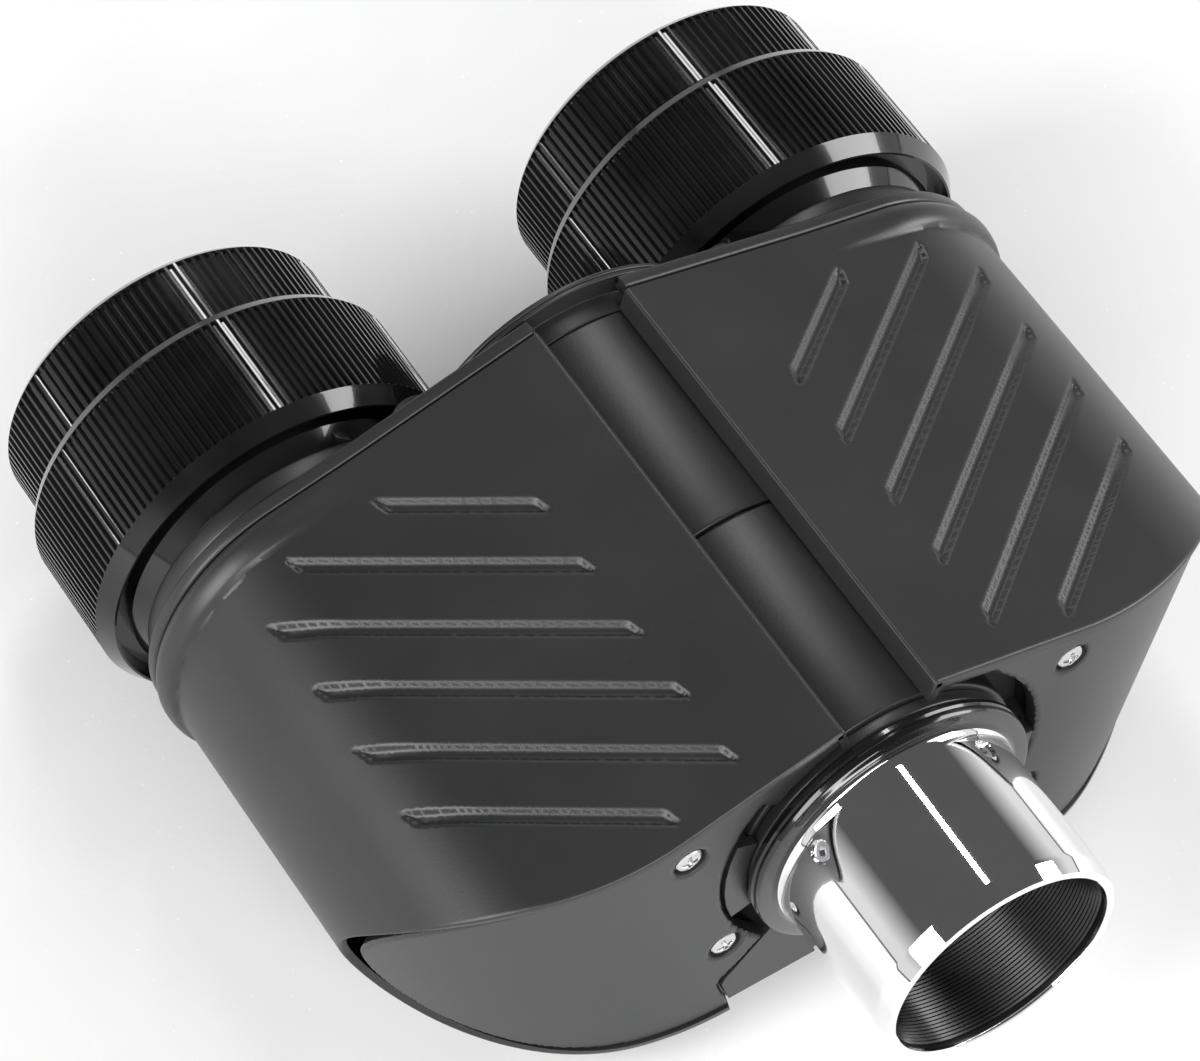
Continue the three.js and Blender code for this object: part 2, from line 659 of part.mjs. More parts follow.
export default binoviewer;
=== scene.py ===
# %% [markdown]
# # A binoviewer in Blender
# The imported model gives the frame: bodies that move, and plain solids. This script gives the looks.
# Everything is in metres, +Y runs from the nosepiece to the eyepieces, and the hinge is parallel to Y.

# %% Load the frame
import json
import math

import bmesh
import bpy
import numpy as np
from mathutils import Matrix, Vector


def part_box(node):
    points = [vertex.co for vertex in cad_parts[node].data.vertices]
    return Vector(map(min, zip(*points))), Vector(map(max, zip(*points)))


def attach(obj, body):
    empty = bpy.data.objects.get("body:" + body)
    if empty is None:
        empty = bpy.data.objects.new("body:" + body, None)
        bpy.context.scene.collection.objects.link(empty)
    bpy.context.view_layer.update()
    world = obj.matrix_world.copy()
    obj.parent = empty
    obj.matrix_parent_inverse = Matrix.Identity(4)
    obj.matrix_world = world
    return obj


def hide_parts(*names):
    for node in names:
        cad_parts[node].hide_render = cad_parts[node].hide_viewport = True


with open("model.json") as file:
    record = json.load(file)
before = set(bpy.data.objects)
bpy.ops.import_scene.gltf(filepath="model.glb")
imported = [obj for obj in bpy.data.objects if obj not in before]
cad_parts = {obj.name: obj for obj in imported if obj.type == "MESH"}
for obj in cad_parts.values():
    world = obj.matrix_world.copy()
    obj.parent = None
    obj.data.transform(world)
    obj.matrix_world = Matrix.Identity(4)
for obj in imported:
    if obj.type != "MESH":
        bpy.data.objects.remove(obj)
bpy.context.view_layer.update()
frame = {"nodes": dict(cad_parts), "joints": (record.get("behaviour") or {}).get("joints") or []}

# %% [markdown]
# ## Sizes
# The joints say where the hinge and the two eyepiece axes run, and the nosepiece's box says where
# its mouth is. The rest are sizes of the housings in millimetres. Each half is drawn lying flat:
# x outwards from the hinge, y along the axis from the mouth, z square to the plates.

# %% Sizes
MM = 0.001
TAU = 2 * math.pi
RADIANS = math.radians
places = {joint["name"]: joint.get("pos_m") for joint in frame["joints"]}
HINGE_Z = places["ipd_hinge"][2]
EYE_X, EYE_Z = places["right_focus_turn"][0], places["right_focus_turn"][2]
MOUTH_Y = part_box("nosepiece")[0].y
FOLD = RADIANS(15)

HALF_HEIGHT = 22.4
EYE_OFFSET, EYE_DROP = 38.0, -0.8
INNER_EDGE = 0.3
FRONT, BACK = 24.55, 90.0
CURVE_START, CURVE_RADIUS = 22.0, 42.4
KNUCKLE, CLEARANCE, POCKET = 18.8, 19.1, 21.7
SPLIT = 57.5
WEDGE = RADIANS(45.75)
SKIRT = RADIANS(29)
LOWER_FACE = 26.6
LIP = 1.1
SIDES = ("right", "left")
FRONT_SCREWS = ((22.5, 16.4), (23.4, -7.0))
REAR_SCREWS = ((17.5, 17.6), (21.0, -16.9))
SCREW_WELL = 2.1
SKIRT_LINE = [(0, 0), (25.6, -14.2), (26.4, -15), (26.4, -60), (-60, -60), (-60, 0)]
NOSE_RADIUS = 15.875
FOCUS_RADIUS, CLAMP_RADIUS = 25.37, 22.43
print("hinge", round(HINGE_Z / MM, 2), "mm up, eyepiece axes", round(2 * EYE_X / MM, 2), "mm apart")

# %% [markdown]
# ## Camera
# The camera looks down at the front left corner from two thirds of a metre away, with a long lens,
# as a product table is usually seen. It is made first, because it doesn't depend on any piece.

# %% Camera
def add_camera(place, across, upward, backward, lens):
    """The three axes are the picture's right, its up, and the way from the subject to the camera."""
    data = bpy.data.cameras.new("studio_camera")
    data.lens, data.sensor_width, data.sensor_fit = lens, 36.0, "HORIZONTAL"
    data.clip_start, data.clip_end = 0.01, 20.0
    made = bpy.data.objects.new("studio_camera", data)
    axes = Matrix((across, upward, backward)).transposed().to_4x4()
    made.matrix_world = Matrix.Translation(place) @ axes
    bpy.context.scene.collection.objects.link(made)
    bpy.context.scene.camera = made


add_camera((-0.197908, -0.295426, 0.552511), (0.8488657, -0.52860697, 0.00129971),
           (0.43293636, 0.69663921, 0.57206636), (-0.3033037, -0.48504482, 0.82020631), 158.5)
bpy.context.scene.view_settings.view_transform = "Standard"

# %% [markdown]
# ## Light and floor
# Black paint and chrome show their surroundings more than their own colour. Big soft panels give
# long clean highlights, and a pale floor lifts the undersides. The sky is pale at the horizon and
# dark overhead, so that the flat plates stay deep gray and the chrome gets a dark middle.

# %% Light and floor
def add_panel(name, place, aim, size, power, tall=None):
    """A rectangular light at a place, turned so that its face looks at the aim point."""
    data = bpy.data.lights.new(name, "AREA")
    data.shape, data.size, data.size_y, data.energy = "RECTANGLE", size, tall or size, power
    made = bpy.data.objects.new(name, data)
    made.location = place
    made.rotation_euler = (Vector(aim) - Vector(place)).to_track_quat("-Z", "Y").to_euler()
    bpy.context.scene.collection.objects.link(made)


add_panel("front_panel", (-0.25, -0.9, 0.55), (0, 0, 0.03), 0.8, 9.0, 0.4)
add_panel("left_panel", (-0.8, 0.0, 0.5), (0, 0, 0.03), 0.6, 8.0, 0.45)
add_panel("right_panel", (0.8, -0.25, 0.45), (0, 0, 0.03), 0.6, 8.0, 0.45)
add_panel("back_strip", (0.22, 0.42, 0.62), (0, 0, 0.03), 0.045, 1.4, 0.5)

sky = bpy.data.worlds.new("pale_sky")
sky.use_nodes = True
upwards = sky.node_tree.nodes.new("ShaderNodeTexCoord").outputs["Generated"]
height = sky.node_tree.nodes.new("ShaderNodeSeparateXYZ")
fade = sky.node_tree.nodes.new("ShaderNodeMapRange")
for socket, value in (("From Min", 0.15), ("From Max", 0.5), ("To Min", 0.85), ("To Max", 0.1)):
    fade.inputs[socket].default_value = value
sky.node_tree.links.new(upwards, height.inputs[0])
sky.node_tree.links.new(height.outputs["Z"], fade.inputs["Value"])
sky.node_tree.links.new(fade.outputs[0], sky.node_tree.nodes["Background"].inputs["Color"])
sky.node_tree.nodes["Background"].inputs["Strength"].default_value = 1.0
bpy.context.scene.world = sky

# %% [markdown]
# ## From a half's own frame to the shared frame
# A half hangs down by the fold angle from the hinge. The left one is a mirror image, so its faces
# have to be turned round when the mesh is made.

# %% Placing
def in_half(side, x, y, z):
    """Turns (x, z) about the hinge by the fold angle, then mirrors the left half's x."""
    x, y, z = np.broadcast_arrays(np.asarray(x, float), y, z)
    across = x * math.cos(FOLD) + z * math.sin(FOLD)
    upward = -x * math.sin(FOLD) + z * math.cos(FOLD)
    sign = -1 if side == "left" else 1
    return np.stack([sign * across * MM, MOUTH_Y + y * MM, HINGE_Z + upward * MM], -1)


def turn_about(centre_x, centre_z):
    """Gives a function that puts a radius, a station and an angle about an axis parallel to Y."""
    def put(radius, station, angle):
        radius, station, angle = np.broadcast_arrays(np.asarray(radius, float), station, angle)
        x = centre_x + radius * np.cos(angle) * MM
        return np.stack([x, MOUTH_Y + station * MM, centre_z + radius * np.sin(angle) * MM], -1)
    return put


ABOUT_HINGE = turn_about(0.0, HINGE_Z)
ABOUT_EYE = {"right": turn_about(EYE_X, EYE_Z), "left": turn_about(-EYE_X, EYE_Z)}

# %% [markdown]
# ## Shells
# A shell is one closed skin: points, four-sided faces and three-sided faces. The sum of the signed
# volumes under its faces says if it is inside out, and then every face is turned round. A piece is
# one or more shells in one mesh.

# %% Shells
NO_TRIANGLES = np.zeros((0, 3), int)


def turned_outwards(points, quads, triangles):
    """Adds up the signed volume between a middle point and every triangle, and flips if negative."""
    middle = points.mean(0)
    fans = [quads[:, [0, 1, 2]], quads[:, [0, 2, 3]], triangles]
    corners = np.concatenate(fans)
    a, b, c = (points[corners[:, k]] - middle for k in range(3))
    if np.einsum("ij,ij->i", a, np.cross(b, c)).sum() < 0:
        return quads[:, ::-1], triangles[:, ::-1]
    return quads, triangles


def add_piece(name, shells, finish, body, replaces=(), sharp=35, weld=False):
    """Joins shells of (points, quads, triangles, finish number) into one mesh that rides on a body."""
    points, quads, triangles, quad_finish, triangle_finish, start = [], [], [], [], [], 0
    for shell in shells:
        own, four, three, index = shell
        own = own.reshape(-1, 3)
        index = np.broadcast_to(index, len(four))
        four, three = turned_outwards(own, four, three)
        points.append(own)
        quads.append(four + start)
        triangles.append(three + start)
        quad_finish.append(index)
        triangle_finish.append(np.full(len(three), index[0] if len(index) else 0))
        start += len(own)
    points, quads, triangles = map(np.concatenate, (points, quads, triangles))
    mesh = bpy.data.meshes.new(name)
    mesh.vertices.add(len(points))
    mesh.vertices.foreach_set("co", points.astype(np.float32).ravel())
    mesh.loops.add(4 * len(quads) + 3 * len(triangles))
    corners = np.concatenate([quads.ravel(), triangles.ravel()])
    mesh.loops.foreach_set("vertex_index", corners.astype(np.int32))
    mesh.polygons.add(len(quads) + len(triangles))
    starts = np.concatenate([4 * np.arange(len(quads)), 4 * len(quads) + 3 * np.arange(len(triangles))])
    mesh.polygons.foreach_set("loop_start", starts.astype(np.int32))
    finish_index = np.concatenate(quad_finish + triangle_finish)
    mesh.polygons.foreach_set("material_index", finish_index.astype(np.int32))
    mesh.update(calc_edges=True)
    mesh.validate()
    if weld:
        close_poles(mesh)
    mesh.shade_smooth()
    mesh.set_sharp_from_angle(angle=RADIANS(sharp))
    for one in finish if isinstance(finish, (list, tuple)) else [finish]:
        mesh.materials.append(one)
    piece = bpy.data.objects.new(name, mesh)
    bpy.context.scene.collection.objects.link(piece)
    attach(piece, body)
    if replaces:
        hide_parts(*replaces)
    print(name, len(quads) + len(triangles), "faces")
    return piece


def close_poles(mesh):
    """Joins the points that lie on each other where a profile meets its axis."""
    work = bmesh.new()
    work.from_mesh(mesh)
    bmesh.ops.remove_doubles(work, verts=work.verts, dist=1e-7)
    work.to_mesh(mesh)
    work.free()


def grid_quads(rows, columns, wrap_rows=False, wrap_columns=False):
    """Quads between neighbours of a grid stored row by row, which may close on itself either way."""
    i, j = np.meshgrid(np.arange(rows if wrap_rows else rows - 1),
                       np.arange(columns if wrap_columns else columns - 1), indexing="ij")
    after, beside = (i + 1) % rows, (j + 1) % columns
    corners = (i * columns + j, after * columns + j, after * columns + beside, i * columns + beside)
    return np.stack([corner.ravel() for corner in corners], -1)


def turned(profile, put, segments=128, shape=None, finish=0):
    """A closed profile of (radius, station) carried round an axis; `shape` may change the radius."""
    profile = np.asarray(profile, float)
    angle = (np.arange(segments) / segments * TAU)[:, None]
    radius = np.repeat(profile[None, :, 0], segments, 0)
    station = np.repeat(profile[None, :, 1], segments, 0)
    if shape is not None:
        radius = shape(radius, station, angle)
    return put(radius, station, angle), grid_quads(segments, len(profile), True, True), NO_TRIANGLES, finish


def softened(corners, size, steps=3):
    """Each corner of a closed outline becomes a short parabola that starts `size` before it."""
    corners = np.asarray(corners, float)
    before, after = np.roll(corners, 1, 0) - corners, np.roll(corners, -1, 0) - corners
    long_before = np.linalg.norm(before, axis=1, keepdims=True)
    long_after = np.linalg.norm(after, axis=1, keepdims=True)
    start = corners + before / long_before * np.minimum(size, 0.42 * long_before)
    end = corners + after / long_after * np.minimum(size, 0.42 * long_after)
    t = np.linspace(0, 1, steps + 1)[None, :, None]
    curve = (1 - t) ** 2 * start[:, None] + 2 * t * (1 - t) * corners[:, None] + t * t * end[:, None]
    return curve.reshape(-1, 2)


def between(outer, inner, quads, triangles, finish=0):
    """Two matching sheets, joined along every edge that has a face on one side only."""
    count = len(outer)
    edges = np.concatenate([np.stack([quads, np.roll(quads, -1, 1)], -1).reshape(-1, 2),
                            np.stack([triangles, np.roll(triangles, -1, 1)], -1).reshape(-1, 2)])
    keys, opposite = edges[:, 0] * count + edges[:, 1], edges[:, 1] * count + edges[:, 0]
    rim = edges[~np.isin(opposite, keys)]
    walls = np.stack([rim[:, 1], rim[:, 0], rim[:, 0] + count, rim[:, 1] + count], -1)
    every_quad = np.concatenate([quads, quads[:, ::-1] + count, walls])
    every_triangle = np.concatenate([triangles, triangles[:, ::-1] + count])
    return np.concatenate([outer, inner]), every_quad, every_triangle, finish


# %% [markdown]
# ## Sheets cut to a shape
# A plate with an odd outline is easiest to describe by the distance to its edge. A square grid is
# laid over it, the points near the edge slide onto it down the slope of that distance, and cells
# outside it are dropped. That leaves a clean outline and an even mesh.

# %% Distances
def from_polygon(x, z, corners):
    """Distance to a polygon's nearest edge, less than nought inside, found by counting crossings."""
    corners = np.asarray(corners, float)
    best, inside = np.full(np.shape(x), 1e9), np.zeros(np.shape(x), bool)
    for (ax, az), (bx, bz) in zip(corners, np.roll(corners, -1, 0)):
        ex, ez = bx - ax, bz - az
        t = np.clip(((x - ax) * ex + (z - az) * ez) / (ex * ex + ez * ez), 0, 1)
        best = np.minimum(best, np.hypot(x - ax - t * ex, z - az - t * ez))
        if ez != 0:
            crossing = ((az > z) != (bz > z)) & (x < ax + ex * (z - az) / ez)
            inside ^= crossing
    return np.where(inside, -best, best)


def from_section(x, z, inset, inner=INNER_EDGE):
    """Distance to a housing's cross-section, a flat oblong whose outer end is a half circle."""
    past = np.maximum(x - EYE_OFFSET, 0)
    return np.maximum(np.hypot(past, z) - (HALF_HEIGHT - inset), inner - x)


def from_wedge(x, z):
    """Distance above the slanted inner wall below the hinge, less than nought beneath it."""
    return x * math.sin(WEDGE) + z * math.cos(WEDGE)


def from_sector(x, z, radius, low, high):
    """Distance to a slice of a disc about the hinge between two angles."""
    under = x * math.sin(low) - z * math.cos(low)
    over = z * math.cos(high) - x * math.sin(high)
    return np.maximum(np.hypot(x, z) - radius, np.maximum(under, over))


def cut_sheet(distance, low, high, step):
    """Returns x, z, quads and triangles of a grid trimmed to where `distance(x, z)` is negative."""
    x, z = np.meshgrid(np.arange(low[0], high[0] + step, step), np.arange(low[1], high[1] + step, step),
                       indexing="ij")
    tiny = 1e-4
    for _ in range(3):
        away = distance(x, z)
        slope_x, slope_z = (distance(x + tiny, z) - away) / tiny, (distance(x, z + tiny) - away) / tiny
        steep = np.maximum(slope_x**2 + slope_z**2, 0.3)
        near = np.abs(away) < 0.55 * step
        x = np.where(near, x - away * slope_x / steep, x)
        z = np.where(near, z - away * slope_z / steep, z)
    kept = distance(x, z) < 0.1 * step
    index = np.arange(x.size).reshape(x.shape)
    corner = np.stack([index[:-1, :-1], index[1:, :-1], index[1:, 1:], index[:-1, 1:]], -1).reshape(-1, 4)
    alive = kept.ravel()[corner]
    quads = corner[alive.all(1)]
    partial = alive.sum(1) == 3
    triangles = corner[partial][alive[partial]].reshape(-1, 3)
    used = np.unique(np.concatenate([quads.ravel(), triangles.ravel()]))
    renumber = np.zeros(x.size, int)
    renumber[used] = np.arange(len(used))
    return x.ravel()[used], z.ravel()[used], renumber[quads], renumber[triangles]


# %% [markdown]
# ## Finishes
# Real paint is never one flat colour. Shared effects are node groups: a fine grain with patches and
# dust for painted and moulded surfaces, and lathe marks for turned ones. Each material then sets its
# own values.

# %% Node helpers
def add_node(tree, kind, inputs=None, **settings):
    made = tree.nodes.new(kind)
    for key, value in settings.items():
        setattr(made, key, value)
    for key, value in (inputs or {}).items():
        if isinstance(value, bpy.types.NodeSocket):
            tree.links.new(value, made.inputs[key])
        else:
            made.inputs[key].default_value = value
    return made


def new_group(name, inputs, outputs):
    made = bpy.data.node_groups.new(name, "ShaderNodeTree")
    for label, default in inputs.items():
        socket = made.interface.new_socket(label, in_out="INPUT", socket_type="NodeSocketFloat")
        socket.default_value = default
    for label in outputs:
        made.interface.new_socket(label, in_out="OUTPUT", socket_type="NodeSocketFloat")
    return made, add_node(made, "NodeGroupInput"), add_node(made, "NodeGroupOutput")


# %% Grain
def grain_group():
    """Fine noise for the surface's texture, broad noise for patches, and rare specks of dust."""
    tree, given, result = new_group("grain", {"Fine": 2600.0, "Broad": 60.0}, ("Height", "Patches", "Dust"))
    spot = add_node(tree, "ShaderNodeTexCoord").outputs["Object"]
    fine, broad = (
        add_node(tree, "ShaderNodeTexNoise", {"Vector": spot, "Scale": given.outputs[name], "Detail": detail})
        for name, detail in (("Fine", 3.0), ("Broad", 5.0)))
    speck = add_node(tree, "ShaderNodeTexNoise", {"Vector": spot, "Scale": 1500.0, "Detail": 1.0})
    limits = {"Value": speck.outputs["Fac"], "From Min": 0.76, "From Max": 0.84}
    dust = add_node(tree, "ShaderNodeMapRange", limits)
    tree.links.new(fine.outputs["Fac"], result.inputs["Height"])
    tree.links.new(broad.outputs["Fac"], result.inputs["Patches"])
    tree.links.new(dust.outputs["Result"], result.inputs["Dust"])
    return tree


def lathe_group():
    """Noise squeezed along the axis makes thin rings, with a slow change round the piece."""
    tree, given, result = new_group("lathe marks", {"Rings per metre": 4000.0}, ("Height", "Streaks"))
    spot = add_node(tree, "ShaderNodeTexCoord").outputs["Object"]
    split = add_node(tree, "ShaderNodeSeparateXYZ", {"Vector": spot})
    scaled = {}
    for axis, factor in (("Y", given.outputs[0]), ("X", 25.0), ("Z", 25.0)):
        times = add_node(tree, "ShaderNodeMath", {0: split.outputs[axis], 1: factor}, operation="MULTIPLY")
        scaled[axis] = times.outputs[0]
    rings_at = add_node(tree, "ShaderNodeCombineXYZ", scaled)
    rings = add_node(tree, "ShaderNodeTexNoise", {"Vector": rings_at.outputs[0], "Scale": 1.0, "Detail": 2.0})
    broad = add_node(tree, "ShaderNodeTexNoise", {"Vector": spot, "Scale": 90.0, "Detail": 4.0})
    tree.links.new(rings.outputs["Fac"], result.inputs["Height"])
    tree.links.new(broad.outputs["Fac"], result.inputs["Streaks"])
    return tree


GRAIN, LATHE = grain_group(), lathe_group()


# %% Materials
def spread(tree, value, low, high):
    """Stretches a noise mask, which mostly lies between 0.3 and 0.7, over a range."""
    limits = {"Value": value, "From Min": 0.3, "From Max": 0.7, "To Min": low, "To Max": high}
    return add_node(tree, "ShaderNodeMapRange", limits).outputs[0]


def tint(tree, share, dark, light):
    mixed = add_node(tree, "ShaderNodeMix", {0: share, 6: (*dark, 1), 7: (*light, 1)}, data_type="RGBA")
    return mixed.outputs[2]


def new_material(name):
    made = bpy.data.materials.new(name)
    made.use_nodes = True
    return made, made.node_tree, made.node_tree.nodes["Principled BSDF"]


def roughen(tree, shader, height, strength, depth):
    lift = add_node(tree, "ShaderNodeBump", {"Height": height, "Strength": strength, "Distance": depth})
    tree.links.new(lift.outputs[0], shader.inputs["Normal"])


def painted(name, dark, light, rough, bump, fine=2600.0):
    """Stoved satin paint: fine grain, patchy sheen and a few pale specks."""
    made, tree, shader = new_material(name)
    grain = add_node(tree, "ShaderNodeGroup", node_tree=GRAIN)
    grain.inputs["Fine"].default_value, grain.inputs["Broad"].default_value = fine, 60.0
    share = spread(tree, grain.outputs["Patches"], 0.0, 1.0)
    pale = tuple(min(1.0, 1.5 * c) for c in light)
    dusty = add_node(tree, "ShaderNodeMix", {0: grain.outputs["Dust"], 6: tint(tree, share, dark, light),
                                            7: (*pale, 1)}, data_type="RGBA")
    tree.links.new(dusty.outputs[2], shader.inputs["Base Color"])
    sheen = spread(tree, grain.outputs["Patches"], rough - 0.015, rough + 0.02)
    tree.links.new(sheen, shader.inputs["Roughness"])
    roughen(tree, shader, grain.outputs["Height"], bump, 0.00004)
    return made


def machined(name, dark, light, rough, bump, metallic=1.0, rings=4000.0, coat=0.0):
    """Turned metal: rings from the lathe in the bump, and an uneven polish."""
    made, tree, shader = new_material(name)
    marks = add_node(tree, "ShaderNodeGroup", node_tree=LATHE)
    marks.inputs[0].default_value = rings
    share = spread(tree, marks.outputs["Streaks"], 0.0, 1.0)
    tree.links.new(tint(tree, share, dark, light), shader.inputs["Base Color"])
    polish = spread(tree, marks.outputs["Streaks"], 0.8 * rough, 1.25 * rough)
    tree.links.new(polish, shader.inputs["Roughness"])
    shader.inputs["Metallic"].default_value = metallic
    shader.inputs["Coat Weight"].default_value = coat
    roughen(tree, shader, marks.outputs["Height"], bump, 0.00002)
    return made


BODY_PAINT = painted("body_paint", (0.0145, 0.0148, 0.0151), (0.0175, 0.0178, 0.0181), 0.38, 0.3)
HUB_PAINT = painted("hub_paint", (0.016, 0.016, 0.0165), (0.026, 0.026, 0.0265), 0.34, 0.25)
# Black for the dark inner parts; on the screw counterbores and the hub's pockets it is painted shade.
BLACK_AND_PAINTED_SHADE = painted("matt_black", (0.008, 0.008, 0.008), (0.014, 0.014, 0.014), 0.75, 0.5)
PLASTIC = painted("washer_plastic", (0.012, 0.012, 0.012), (0.02, 0.02, 0.02), 0.55, 0.4)
ANODISED = machined("black_anodised", (0.01, 0.01, 0.0104), (0.02, 0.02, 0.0208), 0.16, 0.2, 0.6, coat=0.5)
CHROME = machined("chrome", (0.82, 0.82, 0.83), (0.9, 0.9, 0.91), 0.035, 0.04)
STEEL = machined("steel", (0.52, 0.52, 0.53), (0.7, 0.7, 0.71), 0.24, 0.3)
BRASS = machined("brass", (0.5, 0.35, 0.14), (0.66, 0.48, 0.22), 0.25, 0.3)
BORE_BLACK = machined("bore_black", (0.006, 0.006, 0.006), (0.012, 0.012, 0.012), 0.28, 0.3, 0.2)


def coated_glass():
    made, tree, shader = new_material("coated_glass")
    grain = add_node(tree, "ShaderNodeGroup", node_tree=GRAIN)
    share = spread(tree, grain.outputs["Patches"], 0.0, 1.0)
    tree.links.new(tint(tree, share, (0.8, 0.9, 0.93), (0.9, 0.93, 0.98)), shader.inputs["Base Color"])
    tree.links.new(spread(tree, grain.outputs["Patches"], 0.0, 0.03), shader.inputs["Roughness"])
    shader.inputs["Transmission Weight"].default_value = 1.0
    shader.inputs["IOR"].default_value = 1.52
    return made


GLASS = coated_glass()
FLOOR = painted("floor_paper", (0.78, 0.78, 0.78), (0.8, 0.8, 0.8), 0.8, 0.1, 900.0)
print(len(bpy.data.materials), "materials")

# %% Floor
FLOOR_Z = -0.0002


def add_floor(reach=3.0):
    """One square just under the lowest point of the object."""
    mesh = bpy.data.meshes.new("studio_floor")
    signs = ((-1, -1), (1, -1), (1, 1), (-1, 1))
    corners = [(a * reach, b * reach, FLOOR_Z) for a, b in signs]
    mesh.from_pydata(corners, [], [(0, 1, 2, 3)])
    mesh.materials.append(FLOOR)
    floor = bpy.data.objects.new("studio_floor", mesh)
    bpy.context.scene.collection.objects.link(floor)


add_floor()

# %% [markdown]
# ## Solids that keep their shape
# The prisms, pins, washers and other small solids are right as they are. They only get a finish.

# %% Finishes for the kept solids
KEPT = {
    "guide_pin": STEEL, "ring_retainer": STEEL, "prism_clip": STEEL, "set_screw": STEEL, "wave_washer": STEEL,
    "clamp_collet": BRASS, "hinge_sleeve": BRASS, "hinge_nut": BRASS, "baffle": BLACK_AND_PAINTED_SHADE,
    "beam_splitter_cell": BLACK_AND_PAINTED_SHADE, "prism_seat": BLACK_AND_PAINTED_SHADE, "friction_washer": PLASTIC,
    "hub": HUB_PAINT, "skirt": BODY_PAINT,
    "prism": GLASS, "beam_splitter": GLASS, "screw": STEEL, "nosepiece": CHROME, "neck": ANODISED,
    "tube": ANODISED, "ring": ANODISED, "housing": BODY_PAINT, "cover": BODY_PAINT, "plate": BODY_PAINT,
}


def finish_for(node_name):
    """The longest key found in the node's name decides."""
    return KEPT[max((key for key in KEPT if key in node_name), key=len)]


for node_name, solid in frame["nodes"].items():
    solid.data.materials.clear()
    solid.data.materials.append(finish_for(node_name))
print(len(frame["nodes"]), "solids have a finish")

# %% [markdown]
# ## Housing skins
# Each housing is a flat box with a half-round outer side, cut in plan along a curve in front. Its
# skin is one sheet that follows the cross-section from the upper inner edge round to the slanted
# wall under the hinge. Diagonal channels are pressed into both plates, and the rear edge flares.

# %% Plan curve
def front_edge(x):
    """Straight across up to the start of the curve, then a quarter circle that runs back."""
    past = np.clip(np.asarray(x, float) - CURVE_START, 0, CURVE_RADIUS)
    return FRONT + CURVE_RADIUS - np.sqrt(CURVE_RADIUS**2 - past**2)


# %% Section line
def section_line(step=0.35):
    """The outline in (x, z) from under the upper inner edge, out, round, and back to the hinge."""
    edge = 0.4
    wall = np.stack([np.full(5, INNER_EDGE), np.linspace(CLEARANCE, HALF_HEIGHT - edge, 5)], -1)
    bend = RADIANS(1) * np.linspace(180, 90, 6)[1:]
    corner = np.stack([INNER_EDGE + edge + edge * np.cos(bend), HALF_HEIGHT - edge + edge * np.sin(bend)], -1)
    flat_x = np.arange(INNER_EDGE + edge + step, EYE_OFFSET, step)
    top = np.stack([flat_x, np.full_like(flat_x, HALF_HEIGHT)], -1)
    stretches = (90, 62, -0.9), (62, -36, -2.0), (-36, -91, -1.5)
    turn = RADIANS(1) * np.concatenate([np.arange(*stretch) for stretch in stretches])
    round_side = np.stack([EYE_OFFSET + HALF_HEIGHT * np.cos(turn), HALF_HEIGHT * np.sin(turn)], -1)
    corner_x = HALF_HEIGHT / math.tan(WEDGE)
    low_x = np.arange(EYE_OFFSET - 0.5, corner_x + 0.8, -0.5)
    bottom = np.stack([low_x, np.full_like(low_x, -HALF_HEIGHT)], -1)
    reach = np.linspace(math.hypot(corner_x, HALF_HEIGHT) - 0.8, CLEARANCE + 0.1, 8)
    slant = np.stack([reach * math.cos(WEDGE), -reach * math.sin(WEDGE)], -1)
    line = np.concatenate([wall, corner, top, round_side, bottom, slant])
    along = np.gradient(line, axis=0)
    along /= np.linalg.norm(along, axis=1, keepdims=True)
    return line, np.stack([-along[:, 1], along[:, 0]], -1)


# %% Channels
CHANNELS = (71.8, 61.9, 51.6, 41.8, 31.8, 21.8)
CHANNEL_SLOPE, CHANNEL_WIDTH, CHANNEL_DEPTH, CHANNEL_RAMP = 0.806, 3.3, 0.6, 0.55
CHANNEL_INNER, CHANNEL_FRONT = 12.2, 29.4
CHANNEL_OUTER, CHANNEL_REAR = 46.3, 84.6
LOWER_OUTER, LOWER_REAR = 59.3, 89.0


def from_channels(x, y, outer, rear):
    """Distance in plan to the nearest diagonal channel, each a slanted strip with slanted ends."""
    best = np.full(np.shape(x), 1e9)
    for station in CHANNELS:
        start = max(CHANNEL_INNER, CHANNEL_INNER + (CHANNEL_FRONT - station) / CHANNEL_SLOPE)
        end = min(outer, CHANNEL_INNER + (rear - station) / CHANNEL_SLOPE)
        first, last = (station + CHANNEL_SLOPE * (at - CHANNEL_INNER) for at in (start, end))
        corners = [(start, first), (end, last),
                   (end - 0.9, last - CHANNEL_WIDTH), (start - 0.9, first - CHANNEL_WIDTH)]
        best = np.minimum(best, from_polygon(x, y, corners))
    return best


# %% Skin
ROLL_FROM, ROLL_PEAK, ROLL_HEIGHT = 86.0, 0.62, 1.1


def roundness(x):
    """Nothing on the flat, all of it on the round side, with an even change between."""
    share = np.clip((x - 24) / 22, 0, 1)
    return share * share * (3 - 2 * share)


